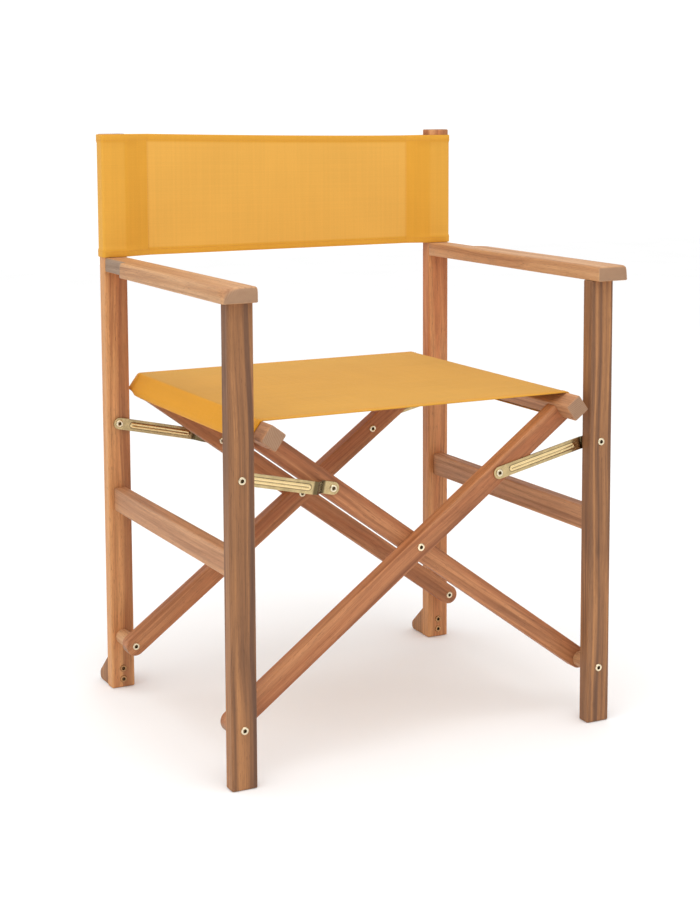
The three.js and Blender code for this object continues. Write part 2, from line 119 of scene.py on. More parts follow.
# Armrests
ARM_NECK, ARM_NECK_IN, ARM_STEP = 0.088, 0.0015, 0.018  # length, inset from the post, shoulder
ARM_REAR_GAP = 0.0002
ARM_LEVELS = (  # share of height, inset, and how round the corners are: inner, outer left and right
    (0.0, 0.0020, 0.0020, 0.004, 0.004), (0.0, 0.0011, 0.0020, 0.004, 0.004),
    (0.025, 0.0004, 0.0020, 0.004, 0.004), (0.07, 0.0, 0.0020, 0.0045, 0.0045),
    (0.40, 0.0, 0.0022, 0.009, 0.006), (0.62, 0.0, 0.0024, 0.015, 0.007),
    (0.78, 0.0001, 0.0027, 0.021, 0.008), (0.88, 0.0004, 0.0030, 0.025, 0.009),
    (0.945, 0.0010, 0.0035, 0.028, 0.010), (0.985, 0.0019, 0.0040, 0.030, 0.011),
    (1.0, 0.0031, 0.0044, 0.031, 0.012), (1.0, 0.0042, 0.0044, 0.031, 0.012),
)

# Wood: how often each kind of mark repeats in a metre, across the grain and along it
WANDER, BROAD, CORE, STREAK = (6, 3), (60, 1.8), (48, 1.3), (190, 2.4)
FIBRE, PORE, PATCH, BEND = (1100, 20), (1700, 90), (12, 9), (42, 1)
WANDER_REACH = 0.020  # how far the grain wanders sideways
STRIPE_WAVE, STRIPE_SOFT = 0.0012, 0.0022  # how wavy and how soft a stripe's edge is
EDGE_HIGHLIGHT = 0.0016  # the width of the highlight painted along an edge
RING_PITCH, RING_BEND = 0.0026, 9.0  # growth rings on a sawn end, and how much they bend

# Other materials: how often each kind of mark repeats in a metre along X, Y and Z
TARNISH, SCRATCH, TWIST = (70, 70, 70), (260, 900, 1500), (1800, 1800, 1800)
SLUB, SLUB_DOWN, FADE = (4, 480, 1), (260, 5, 1), (10, 10, 1)
THREAD_PITCH = 0.0009
PLATE_EDGE_HIGHLIGHT = 0.0004  # the width of the highlight painted along an edge

# How deep the finest relief is, in wood, plating, cloth and thread
GRAIN_DEEP, SCRATCH_DEEP, WEAVE_DEEP, TWIST_DEEP = 0.00025, 0.00001, 0.00014, 0.0001

nodes = frame["nodes"]
body_of = {n: b for b, ns in frame["record"]["behaviour"]["bodies"].items() for n in ns}
UP, BACK = Vector((0, 0, 1)), Vector((0, 1, 0))


# ---------------------------------------------------------------------------------------------
# Small helpers
# ---------------------------------------------------------------------------------------------
def srgb(r, g, b):
    """A colour given as 0 to 255 sRGB, as linear RGBA."""
    def lin(c):
        c /= 255
        return c / 12.92 if c <= 0.04045 else ((c + 0.055) / 1.055) ** 2.4
    return (lin(r), lin(g), lin(b), 1)


def smooth(t):
    t = min(1.0, max(0.0, t))
    return t * t * (3 - 2 * t)


def centre(name):
    low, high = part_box(name)
    return (low + high) / 2


def bend(start, corner, end, count):
    """Points along a curve from start to end that turns where corner is."""
    return [start * (1 - t) ** 2 + corner * 2 * t * (1 - t) + end * t * t
            for t in (k / count for k in range(count + 1))]


class Graph:
    """A material's node tree, built by calls that return the new node's output."""

    def __init__(self, name):
        self.mat = bpy.data.materials.new(name)
        self.mat.use_nodes = True
        self.tree = self.mat.node_tree
        self.shader = self.tree.nodes["Principled BSDF"]

    def put(self, socket, value):
        if isinstance(value, bpy.types.NodeSocket):
            self.tree.links.new(value, socket)
        else:
            socket.default_value = value

    def look(self, **inputs):
        """Set the shader's inputs, each named with _ for a space."""
        for key, value in inputs.items():
            self.put(self.shader.inputs[key.replace("_", " ")], value)

    def add(self, kind, inputs=(), out=0, **props):
        node = self.tree.nodes.new("ShaderNode" + kind)
        for key, value in props.items():
            setattr(node, key, value)
        for key, value in dict(inputs).items():
            self.put(node.inputs[key], value)
        return node.outputs[out]

    def math(self, operation, a, b=0.0, c=0.0):
        return self.add("Math", {0: a, 1: b, 2: c}, operation=operation)

    def times(self, vector, scale):
        return self.add("VectorMath", {0: vector, 1: scale}, operation="MULTIPLY")

    def dot(self, a, b):
        return self.add("VectorMath", {0: a, 1: b}, out="Value", operation="DOT_PRODUCT")

    def part(self, vector, axis):
        return self.add("SeparateXYZ", {0: vector}, out=axis)

    def noise(self, vector, detail=2.0, rough=0.5, out="Fac"):
        return self.add("TexNoise", {"Vector": vector, "Scale": 1.0, "Detail": detail,
                                     "Roughness": rough}, out=out)

    def grain(self, place, repeats, detail=2.0, rough=0.5, out="Fac"):
        """Noise drawn out along Z, from its repeats in a metre across Z and along it."""
        across, along = repeats
        return self.noise(self.times(place, (across, across, along)), detail, rough, out)

    def ramp(self, value, low, high, to_low=0.0, to_high=1.0):
        return self.add("MapRange", {"Value": value, "From Min": low, "From Max": high,
                                     "To Min": to_low, "To Max": to_high}, clamp=True)

    def mix(self, share, a, b, blend="MIX"):
        node = self.tree.nodes.new("ShaderNodeMix")
        node.data_type, node.blend_type = "RGBA", blend
        for index, value in ((0, share), (6, a), (7, b)):
            self.put(node.inputs[index], value)
        return node.outputs[2]

    def shaded(self, colour, shade):
        """A colour multiplied by a number."""
        return self.mix(1.0, colour, self.add("CombineColor", {0: shade, 1: shade, 2: shade}),
                        "MULTIPLY")

    def edge_highlight_mask(self, radius):
        """1 on the crown of an edge, falling to 0 on the flats beside it: where a highlight is
        painted.
        """
        soft = self.add("Bevel", {"Radius": radius}, samples=4)
        true = self.add("NewGeometry", out="True Normal")
        return self.ramp(self.dot(soft, true), 0.985, 0.80)

    def bump(self, height, distance, strength=0.6):
        normal = self.add("Bump", {"Height": height, "Distance": distance, "Strength": strength})
        self.look(Normal=normal)


# ---------------------------------------------------------------------------------------------
# Materials
# ---------------------------------------------------------------------------------------------
SAWN, PORE_TONE = srgb(158, 128, 102), srgb(96, 62, 42)
# The last of these tones is painted shade, for the hollow of a socket.
PLATE, HEAD_PLATE, FOOT_PLATE, SOCKET_SHADE = (
    srgb(206, 182, 134), srgb(252, 236, 202), srgb(200, 152, 106), srgb(84, 66, 44))
# The tone of the painted shade in a link's bead channel, round its foot and on its step.
CHANNEL_SHADE = srgb(92, 78, 54)


def with_stripes(g, base, across, stripes, pale, dark):
    """The base colour with stripes along a piece, at places on its X axis."""
    for middle_x, half, strength in stripes:
        off = g.math("ABSOLUTE", g.math("SUBTRACT", across, middle_x))
        inside = g.ramp(off, half, half - STRIPE_SOFT, 0.0, abs(strength))
        base = g.mix(inside, base, dark if strength > 0 else pale)
    return base


def with_sawn_ends(g, base, place, grain, dark, lean):
    """The base colour, greyer on ends sawn across the grain, where it shows the growth rings."""
    facing = g.dot(g.add("TexCoord", out="Normal"), tuple(grain))
    end = g.ramp(g.math("ABSOLUTE", facing), 0.72, 0.97, 0.0, 0.85)
    depth = g.dot(place, (math.cos(lean), math.sin(lean), 0))
    bent = g.math("MULTIPLY", g.grain(place, BEND, 1, 0.4), RING_BEND)
    rings = g.math("SINE", g.math("MULTIPLY_ADD", depth, math.tau / RING_PITCH, bent))
    return g.mix(end, base, g.mix(g.ramp(rings, -0.2, 1.0, 0.0, 0.6), SAWN, dark))


def wood(name, grain, seed, tones, heart, stripes=()):
    """Oiled hardwood whose grain runs along the unit vector grain, with its own streaks.
    tones are its pale, middle and dark colours, heart is how much dark heartwood shows, and
    stripes are dark (or, where strength is negative, pale) ones, as (middle x, half width,
    strength)."""
    pale, middle, dark = (srgb(*tone) for tone in tones)
    g = Graph(name)
    rng = random.Random(seed)
    turn = Vector(grain).rotation_difference(UP).to_euler()
    shift = [rng.uniform(-3, 3) for _ in range(3)]
    at = g.add("TexCoord", out="Object")
    place = g.add("Mapping", {"Vector": at, "Rotation": turn, "Location": shift})

    # The grain wanders slowly along the piece.
    wander = g.grain(place, WANDER, 1, 0.4, "Color")
    wander = g.add("VectorMath", {0: wander, 1: (0.5, 0.5, 0.5)}, operation="SUBTRACT")
    wander = g.times(wander, (WANDER_REACH, WANDER_REACH, 0))
    place = g.add("VectorMath", {0: place, 1: wander}, operation="ADD")
    streak = g.grain(place, STREAK, 2, 0.6)
    fibre = g.grain(place, FIBRE, 2, 0.6)
    patch = g.grain(place, PATCH, 2, 0.5)
    pore = g.ramp(g.grain(place, PORE, 1, 0.5), 0.62, 0.72, 0.0, 0.5)

    base = g.mix(g.ramp(g.grain(place, BROAD, 1, 0.5), 0.34, 0.66), middle, pale)
    base = g.mix(g.ramp(streak, 0.46, 0.70, 0.0, 0.6), base, dark)
    base = g.mix(g.ramp(streak, 0.40, 0.26, 0.0, 0.5), base, pale)
    base = g.mix(g.ramp(g.grain(place, CORE, 2, 0.55), 0.53, 0.66, 0.0, heart), base, dark)
    base = g.mix(g.ramp(patch, 0.35, 0.7, 0.0, 0.35), base, middle)
    wave = g.math("ADD", g.part(wander, 0), g.ramp(streak, 0.3, 0.7, -STRIPE_WAVE, STRIPE_WAVE))
    base = with_stripes(g, base, g.math("ADD", g.part(at, 0), wave), stripes, pale, dark)
    base = g.shaded(base, g.ramp(fibre, 0.3, 0.7, 0.82, 1.09))
    base = g.mix(pore, base, PORE_TONE)

    # A highlight is painted paler along the edges, here and there.
    rubbed_and_highlight = g.math("MULTIPLY", g.edge_highlight_mask(EDGE_HIGHLIGHT), g.ramp(patch, 0.35, 0.6, 0.3, 0.9))
    base = g.mix(rubbed_and_highlight, base, pale)
    base = with_sawn_ends(g, base, place, grain, dark, rng.uniform(0.3, 1.1))
    g.look(Base_Color=base, Roughness=g.ramp(streak, 0.3, 0.7, 0.48, 0.64),
           Specular_IOR_Level=0.35)
    g.bump(g.math("SUBTRACT", fibre, g.math("MULTIPLY", pore, 1.2)), GRAIN_DEEP)
    return g.mat


def zinc(name, seed, tone, pressed=False):
    """Yellow zinc plating: satin, with a cloudy hue, fine scratched lines and a highlight painted
    along its edges. On a pressed strip an attribute paints a highlight where it is 1, along a
    bead's crests, and shade where it is below 0, in its channels and steps."""
    g = Graph(name)
    rng = random.Random(seed)
    at = g.add("TexCoord", out="Object")
    place = g.add("Mapping", {"Vector": at, "Location": [rng.uniform(-2, 2) for _ in range(3)]})
    cloud = g.noise(g.times(place, TARNISH), 3, 0.6)
    rubbed_and_highlight = g.noise(g.times(place, SCRATCH), 2, 0.6)
    dull = tuple(c * 0.62 for c in tone[:3]) + (1,)
    highlight_tone = tuple(min(1.0, c * 1.45) for c in tone[:3]) + (1,)
    tint = g.mix(g.ramp(cloud, 0.35, 0.65, 0.0, 0.8), tone, dull)
    # Painted highlight on a bead's crests, and painted shade in its channels and steps.
    if pressed:
        highlight_shade = g.add("Attribute", attribute_name="highlight_shade", out="Fac")
        tint = g.mix(g.ramp(highlight_shade, 0.1, 0.9, 0.0, 0.9), tint, highlight_tone)
        tint = g.mix(g.ramp(highlight_shade, -0.05, -0.8, 0.0, 0.92), tint, CHANNEL_SHADE)
    # A highlight painted along the plating's edges.
    tint = g.mix(g.math("MULTIPLY", g.edge_highlight_mask(PLATE_EDGE_HIGHLIGHT), 0.6), tint, highlight_tone)
    g.look(Base_Color=tint, Metallic=1.0, Roughness=g.ramp(rubbed_and_highlight, 0.3, 0.7, 0.20, 0.30))
    g.bump(rubbed_and_highlight, SCRATCH_DEEP, 0.3)
    return g.mat


def canvas(name, lit_tone, shade_tone, slubs):
    """Woven canvas, in a paler tone with painted light, as through one thickness and from above,
    and a deeper tone of painted shade. An attribute is 1 where the shade is painted, at hems,
    sleeves and down the seat's sides, and 'flat' holds the place on the flat cloth, in metres, as
    (across, along, 0). slubs is how much its uneven threads show."""
    g = Graph(name)
    flat = g.add("Attribute", attribute_name="flat", out="Vector")
    painted_shade = g.add("Attribute", attribute_name="painted_shade", out="Fac")
    weft, warp = (g.math("SINE", g.math("MULTIPLY", g.part(flat, axis), math.tau / THREAD_PITCH))
                  for axis in (0, 1))
    weave = g.math("MULTIPLY", weft, warp)

    # Threads of uneven thickness show as long faint lines both ways.
    slub = g.noise(g.times(flat, SLUB), 3, 0.65)
    slub_down = g.noise(g.times(flat, SLUB_DOWN), 2, 0.5)
    cloud = g.noise(g.times(flat, FADE), 2, 0.5)
    shade = g.math("MULTIPLY_ADD", weave, 0.05, 1.0)
    for lines, low, high in ((slub, 1 - 0.07 * slubs, 1 + 0.06 * slubs),
                             (slub_down, 0.975, 1.02), (cloud, 0.97, 1.02)):
        shade = g.math("MULTIPLY", shade, g.ramp(lines, 0.3, 0.7, low, high))
    # The lit tone, with painted shade mixed in where the attribute says.
    g.look(Base_Color=g.shaded(g.mix(painted_shade, lit_tone, shade_tone), shade), Roughness=0.86,
           Specular_IOR_Level=0.2, Sheen_Weight=0.08)
    g.bump(g.math("MULTIPLY_ADD", weave, 0.5, g.math("MULTIPLY", slub, 1.4)), WEAVE_DEEP)
    return g.mat


def thread(name, colour, other):
    g = Graph(name)
    twist = g.noise(g.times(g.add("TexCoord", out="Object"), TWIST), 1, 0.5)
    g.look(Base_Color=g.mix(g.ramp(twist, 0.3, 0.7), colour, other), Roughness=0.6)
    g.bump(twist, TWIST_DEEP, 0.5)
    return g.mat


# ---------------------------------------------------------------------------------------------
# Timber: the CAD solids, with the grain along each piece
# ---------------------------------------------------------------------------------------------
crossing, pivot = centre("centre_bolt_front"), centre("spacer_front_left")
BAR_SLOPE = math.atan2(crossing.z - pivot.z, -pivot.x)
RISES_RIGHT = Vector((math.cos(BAR_SLOPE), 0, math.sin(BAR_SLOPE)))
RISES_LEFT = Vector((-math.cos(BAR_SLOPE), 0, math.sin(BAR_SLOPE)))
# Each kind's own tones, partly with painted light: the armrests' paler for the light on their tops,
# the front legs' darker as painted shade on their fronts.
TONES = {  # pale, middle and dark
    "front": ((193, 135, 85), (154, 105, 66), (96, 66, 50)),
    "rear": ((220, 160, 104), (198, 126, 78), (140, 84, 54)),
    "bar": ((200, 138, 92), (170, 104, 64), (116, 66, 42)),
    "brace": ((206, 152, 108), (184, 130, 90), (130, 84, 58)),
    "arm": ((216, 168, 122), (192, 140, 96), (150, 100, 70)),
    "grey": ((172, 146, 122), (158, 130, 106), (128, 102, 84)),
}
TIMBER = [  # node's name starts, grain, tones, heart
    ("leg_front", UP, "front", 0.75), ("leg_rear", UP, "rear", 0.5),
    ("foot_left", UP, "front", 0.5), ("foot_right", UP, "front", 0.5),
    ("armrest", BACK, "arm", 0.2), ("stretcher", BACK, "brace", 0.5),
    ("spacer", BACK, "arm", 0.2), ("seat_rail", BACK, "brace", 0.35),
    ("bar_front_rising_right", RISES_RIGHT, "bar", 0.45),
    ("bar_rear_rising_right", RISES_RIGHT, "bar", 0.45),
    ("bar_front_rising_left", RISES_LEFT, "bar", 0.55),
    ("bar_rear_rising_left", RISES_LEFT, "bar", 0.55),
]
STRIPES = {  # down a leg: whose edge it is measured from, inwards from that, half width, strength
    "leg_front_left": (("right", 0.0065, 0.0045, 0.75), ("left", 0.002, 0.004, 0.35)),
    "leg_front_right": (("right", 0.022, 0.003, 0.6), ("right", 0.0, 0.0075, 0.6),
                        ("right", 0.029, 0.003, -0.5), ("left", 0.002, 0.005, 0.5)),
    "leg_rear_left": (("left", 0.001, 0.006, -0.7), ("right", 0.008, 0.009, 0.5)),
}
FIRST_SEED = 40


def leg_stripes(name):
    """A leg's stripes as (middle x, half width, strength)."""
    low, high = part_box(name)
    return [(low.x + inwards if edge == "left" else high.x - inwards, half, strength)
            for edge, inwards, half, strength in STRIPES.get(name, ())]


timber = {}
for number, name in enumerate(sorted(nodes)):
    for start, grain, tones, heart in TIMBER:
        if name.startswith(start):
            timber[name] = wood("wood_" + name, grain, FIRST_SEED + number, TONES[tones], heart,
                                leg_stripes(name))
            nodes[name].data.materials.clear()
            nodes[name].data.materials.append(timber[name])


# ---------------------------------------------------------------------------------------------
# Building pieces
# ---------------------------------------------------------------------------------------------
def piece(name, verts, faces, material):
    mesh = bpy.data.meshes.new(name)
    mesh.from_pydata([tuple(v) for v in verts], [], faces)
    mesh.update()
    mesh.materials.append(material)
    made = bpy.data.objects.new(name, mesh)
    bpy.context.scene.collection.objects.link(made)
    return made


def finish_mesh(made, sharp=40):
    """Apply the modifiers, point the faces outwards and shade smooth up to an angle."""
    graph = bpy.context.evaluated_depsgraph_get()
    mesh = bpy.data.meshes.new_from_object(made.evaluated_get(graph), depsgraph=graph)
    made.modifiers.clear()
    edit = bmesh.new()
    edit.from_mesh(mesh)
    bmesh.ops.recalc_face_normals(edit, faces=edit.faces)
    edit.to_mesh(mesh)
    edit.free()
    for polygon in mesh.polygons:
        polygon.use_smooth = True
    mesh.set_sharp_from_angle(angle=math.radians(sharp))
    made.data = mesh


def thicken(made, thickness):
    """Give a sheet of faces a thickness, half of it on each side."""
    thick = made.modifiers.new("thickness", "SOLIDIFY")
    thick.thickness, thick.offset, thick.use_even_offset = thickness, 0, True


def lofted(name, rings, material, closed=False, sharp=35):
    """A solid through rings of the same number of points, with capped ends, or closed on itself."""
    count = len(rings[0])
    verts = [v for ring in rings for v in ring]
    faces = []
    for j in range(len(rings) if closed else len(rings) - 1):
        below, above = j * count, (j + 1) % len(rings) * count
        for k in range(count):
            after = (k + 1) % count
            faces.append((below + k, below + after, above + after, above + k))
    if not closed:
        faces.append(tuple(range(count))[::-1])
        faces.append(tuple(range(len(verts) - count, len(verts))))
    made = piece(name, verts, faces, material)
    finish_mesh(made, sharp)
    return made


# ---------------------------------------------------------------------------------------------
# Cloth
# ---------------------------------------------------------------------------------------------
def walk(corners, turn):
    """Points along a line through corners (x, y, radius), each corner rounded by its radius, as
    (distance, point, normal). The normal is to the left where turn is 1, and right where -1."""
    points = []
    for i, (x, y, radius) in enumerate(corners):
        here = Vector((x, y))
        if not radius:
            points.append(here)
            continue
        before, after = Vector(corners[i - 1][:2]), Vector(corners[i + 1][:2])
        points += bend(here + (before - here).normalized() * radius, here,
                       here + (after - here).normalized() * radius, CORNER_STEPS)
    places, total = [(0.0, points[0])], 0.0
    for a, b in zip(points, points[1:]):
        length = (b - a).length
        count = max(1, math.ceil(length / PATH_STEP))
        places += [(total + length * k / count, a.lerp(b, k / count)) for k in range(1, count + 1)]
        total += length
    walked = []
    for i, (distance, point) in enumerate(places):
        ahead = places[min(i + 1, len(places) - 1)][1] - places[max(i - 1, 0)][1]
        walked.append((distance, point, Vector((-ahead.y, ahead.x)).normalized() * turn))
    return walked


class Sheet:
    """Cloth on a grid: across follows path, a line in a plane, and along is a distance that
    to_space turns into the third coordinate. Both edges along are hemmed, folded under.
    bulge gives how far a hem pushes the cloth outwards at a distance across, and shift how far
    the path itself moves at a distance along."""

    def __init__(self, path, low, high, hem, bulge, to_space, marks=(), step=ROW_STEP,
                 shift=lambda point, along: Vector((0, 0))):
        self.path, self.hem, self.bulge, self.to_space = path, hem, bulge, to_space
        self.shift = shift
        fold = LAYER_GAP / 2
        self.low, self.high = low + fold + CLOTH / 2, high - fold - CLOTH / 2

        # Each row is a place along, and 1 where it lies under the sheet, as a hem's edge does.
        turn = [math.pi * k / 4 for k in (1, 2, 3)]
        hem_steps = [hem * k / HEM_STEPS for k in range(HEM_STEPS + 1)]
        rows = [(self.low + step_in, 1.0) for step_in in hem_steps[::-1]]
        rows += [(self.low - fold * math.sin(t), (1 + math.cos(t)) / 2) for t in turn]
        stops = sorted({self.low, self.high, self.low + hem, self.high - hem,
                        self.low + hem + HEM_SOFT, self.high - hem - HEM_SOFT, *marks})
        stops = [s for s in stops if self.low <= s <= self.high]
        for a, b in zip(stops, stops[1:]):
            count = math.ceil((b - a) / step)
            rows += [(a + (b - a) * k / count, 0.0) for k in range(count)]
        rows.append((self.high, 0.0))
        rows += [(self.high + fold * math.sin(t), (1 - math.cos(t)) / 2) for t in turn]
        rows += [(self.high - step_in, 1.0) for step_in in hem_steps]
        self.rows = rows
        self.lengths = [0.0]  # from the hem's inner edge to each row, along the cloth
        for (a, a_under), (b, b_under) in zip(rows, rows[1:]):
            length = math.hypot(b - a, LAYER_GAP * (b_under - a_under))
            self.lengths.append(self.lengths[-1] + length)
        self.flat = (path[-1][0] - path[0][0], self.lengths[-1])

    def at_hem(self, along):
        inside = min(along - self.low, self.high - along)
        return 1 - smooth((inside - self.hem) / HEM_SOFT)

    def point(self, place, along, under=0.0, above=0.0):
        distance, point, normal = place
        lift = self.bulge(distance) * self.at_hem(along) - LAYER_GAP * under + above
        return self.to_space(point + self.shift(point, along) + normal * lift, along)

    def build(self, name, material, painted_shade, hem_shade=1.0, hole=lambda place, along: False):
        """The cloth's piece. The function after the material gives how much painted shade it gets
        at a distance across, the share after that how much its hems get, and hole whether it is cut
        away at a place."""
        wide = len(self.path)
        verts = [self.point(p, along, under) for along, under in self.rows for p in self.path]
        faces = []
        for j in range(len(self.rows) - 1):
            middle = (self.rows[j][0] + self.rows[j + 1][0]) / 2
            for i in range(wide - 1):
                if not hole(self.path[i], middle) and not hole(self.path[i + 1], middle):
                    a = j * wide + i
                    faces.append((a, a + 1, a + wide + 1, a + wide))
        made = piece(name, verts, faces, material)
        flat = made.data.attributes.new("flat", "FLOAT_VECTOR", "POINT")
        flat.data.foreach_set("vector", [x for length in self.lengths for p in self.path
                                         for x in (p[0], length, 0.0)])
        # Painted shade where the cloth is two thick and lets less light through, and down the
        # seat's sides.
        shade_share = made.data.attributes.new("painted_shade", "FLOAT", "POINT")
        shade_share.data.foreach_set("value", [max(self.at_hem(along) * hem_shade, painted_shade(p[0]))
                                           for along, _ in self.rows for p in self.path])
        edit = bmesh.new()
        edit.from_mesh(made.data)
        bmesh.ops.delete(edit, geom=[v for v in edit.verts if not v.link_faces], context="VERTS")
        edit.to_mesh(made.data)
        edit.free()
        thicken(made, CLOTH)
        finish_mesh(made)
        return made

    def on_top(self, place, along):
        """Where a stitch goes, as (point, outward)."""
        outward = self.to_space(place[2], 0) - self.to_space(Vector((0, 0)), 0)
        above = CLOTH / 2 + STITCH_THICK * STITCH_RISE
        return (self.point(place, along, above=above), outward.normalized())

    def hem_lines(self, chosen):
        """The lines that both hems' stitches follow, at the chosen places across."""
        inwards = self.hem - STITCH_IN
        return [[self.on_top(p, along) for p in self.path if chosen(p)]
                for along in (self.low + inwards, self.high - inwards)]

    def seam_line(self, place):
        count = int((self.high - self.low) / SEAM_STEP)
        alongs = [self.low + (self.high - self.low) * k / count for k in range(count + 1)]
        return [self.on_top(place, along) for along in alongs]


def stitch(middle, along, out):
    """A stitch's vertices and faces: a short six-sided bar with its ends sunk into the cloth."""
    side, sides = along.cross(out), 6
    ends = ((-0.5, 1.0), (-0.3, 0.0), (0.3, 0.0), (0.5, 1.0))  # share of its length, how sunk
    verts, faces = [], []
    for share, sink in ends:
        here = middle + along * STITCH_LONG * share - out * STITCH_THICK * sink
        for k in range(sides):
            angle = math.tau * k / sides
            verts.append(here + (side * math.cos(angle) + out * math.sin(angle))
                         * STITCH_THICK / 2)
    for ring in range(len(ends) - 1):
        for k in range(sides):
            a, b = ring * sides + k, ring * sides + (k + 1) % sides
            faces.append((a, a + sides, b + sides, b))
    faces.append(tuple(range(sides)))
    faces.append(tuple(len(verts) - 1 - k for k in range(sides)))
    return verts, faces


def stitches(name, lines, material):
    """Rows of stitches along lines of (point, outward)."""
    verts, faces = [], []
    for line in lines:
        lengths = [(b[0] - a[0]).length for a, b in zip(line, line[1:])]
        total, index, gone = sum(lengths), 0, 0.0
        at = STITCH_PITCH / 2
        while at < total - STITCH_PITCH / 2:
            while gone + lengths[index] < at:
                gone += lengths[index]
                index += 1
            (start, out), (end, _) = line[index], line[index + 1]
            along = (end - start).normalized()
            more_verts, more_faces = stitch(start + along * (at - gone), along, out)
            faces += [tuple(len(verts) + corner for corner in face) for face in more_faces]
            verts += more_verts
            at += STITCH_PITCH
    made = piece(name, verts, faces, material)
    finish_mesh(made)
    return made


# Each canvas: a paler tone with painted light, as through one thickness and from above, then a tone
# with painted shade.
canvas_seat = canvas("canvas_seat", srgb(208, 154, 62), srgb(224, 155, 34), 1.0)
canvas_back = canvas("canvas_back", srgb(230, 174, 80), srgb(223, 162, 57), 0.35)
sewing = thread("thread", srgb(196, 130, 34), srgb(222, 160, 70))

# ---------------------------------------------------------------------------------------------
# Seat: one sheet over both rails, down their outer sides and turned under them, with windows
# round the bars
# ---------------------------------------------------------------------------------------------
panel_low, panel_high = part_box("seat_half_right")
rail = Vector((centre("seat_rail_right").x, centre("seat_rail_right").z))
LONG = Vector((math.cos(BAR_SLOPE), math.sin(BAR_SLOPE)))
ACROSS = Vector((-math.sin(BAR_SLOPE), math.cos(BAR_SLOPE)))
seat_level = panel_high.z - CLOTH / 2


def rail_corner(long, across):
    return rail + (LONG * long + ACROSS * across) * (RAIL_HALF + STAND_OFF)


top_corner, outer_corner = rail_corner(1, 1), rail_corner(1, -1)
down = (top_corner.y - seat_level) / math.cos(BAR_SLOPE) * math.sin(BAR_SLOPE)
# From the rail's outer corner the cloth drops, then turns in, and it ends under the lowest corner.
half_path = walk([
    (0, seat_level, 0), (top_corner.x + down, seat_level, 0.004), (*outer_corner, 0.0035),
    (outer_corner.x - 0.0016, outer_corner.y - 0.0085, 0.003),
    (rail.x + 0.0010, rail.y - 0.0212, 0.004), (rail.x - 0.0030, rail.y - 0.0195, 0),
], 1)
side_start = next(p[0] for p in half_path if p[1].x >= top_corner.x)
under_start = next(p[0] for p in half_path if p[1].y <= rail.y - UNDER_DROP)


def mirrored(path):
    """A path from its mirror image's end to its own, through the middle at distance 0."""
    left = [(-d, Vector((-p.x, p.y)), Vector((-n.x, n.y))) for d, p, n in path[1:]]
    return left[::-1] + path


def seat_bulge(distance):
    return HEM_PUFF * smooth((abs(distance) - side_start) / SIDE_SOFT + 0.5)


def seat_shade(distance):
    """Painted shade down a rail's side, away from the light above, deeper than on the seat's top.
    """
    return smooth((abs(distance) - side_start) / EDGE_SOFT + 0.5)


def drawn_up(point, along):
    """Past the bars, the cloth under a rail is drawn up against the wood."""
    side = 1 if point.x > 0 else -1
    off = Vector((side * point.x, point.y)) - rail
    below = -RAIL_HALF - STAND_OFF - off.dot(ACROSS)
    if below < 0 or off.x < -RAIL_HALF:
        return Vector((0, 0))
    end = min(along - panel_low.y, panel_high.y - along)
    shift = ACROSS * below * (1 - smooth((end - DRAWN_END) / DRAWN_SOFT))
    return Vector((side * shift.x, shift.y))


BARS = {side: [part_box(f"bar_{place}_rising_{side}") for place in ("front", "rear")]
        for side in ("left", "right")}


def cut_away(place, along):
    """Whether the cloth under a rail is cut away here, for a bar or at the sheet's corner."""
    if abs(place[0]) < under_start:
        return False
    if min(along - panel_low.y, panel_high.y - along) < CORNER_CUT:
        return True
    return any(low.y - WINDOW_GAP < along < high.y + WINDOW_GAP
               for low, high in BARS["right" if place[0] > 0 else "left"])


cut_marks = [mark for pair in BARS.values() for low, high in pair
             for mark in (low.y - WINDOW_GAP, high.y + WINDOW_GAP)]
cut_marks += [panel_low.y + CORNER_CUT, panel_high.y - CORNER_CUT]
seat_sheet = Sheet(mirrored(half_path), panel_low.y, panel_high.y, SEAT_HEM, seat_bulge,
                   lambda point, along: Vector((point.x, along, point.y)), cut_marks,
                   SEAT_ROW_STEP, drawn_up)
seat = seat_sheet.build("seat_cloth", canvas_seat, seat_shade, SEAT_HEM_SHADE, cut_away)
seat_sewing = stitches("seat_stitching",
                       seat_sheet.hem_lines(lambda p: abs(p[0]) < under_start), sewing)
for part in (seat, seat_sewing):
    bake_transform(part)
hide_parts("seat_half_left", "seat_half_right", "seat_sleeve_left", "seat_sleeve_right")

# ---------------------------------------------------------------------------------------------
# Back: two halves that meet in the middle, each with a sleeve sewn round its post
# ---------------------------------------------------------------------------------------------
post_low, post_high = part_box("leg_rear_right")
cloth_low, cloth_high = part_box("back_half_right")
middle_y = (cloth_low.y + cloth_high.y) / 2
seam_x = post_low.x - BACK_SEAM
inner_x, outer_x = post_low.x - STAND_OFF, post_high.x + STAND_OFF
front_y, rear_y = post_low.y - STAND_OFF, post_high.y + STAND_OFF
top_layer, lower_layer = middle_y - LAYER_GAP / 2, middle_y + LAYER_GAP / 2
back_path = walk([
    (0, top_layer, 0), (seam_x, top_layer, 0.006),
    (inner_x, front_y, 0.005), (outer_x, front_y, 0.0034), (outer_x, rear_y, 0.0034),
    (inner_x, rear_y, 0.005), (seam_x + 0.004, lower_layer + 0.0002, 0.004),
    (seam_x - 0.001, lower_layer, 0),
], -1)
sleeve_start = next(p[0] for p in back_path if p[1].x >= seam_x)
sleeve_end = back_path[-1][0]


def back_bulge(distance):
    return HEM_PUFF * smooth((distance - sleeve_start - SLEEVE_SKIP) / SLEEVE_SOFT) + (
        SLEEVE_PUFF * smooth((distance - sleeve_end) / SLEEVE_SOFT + 1))


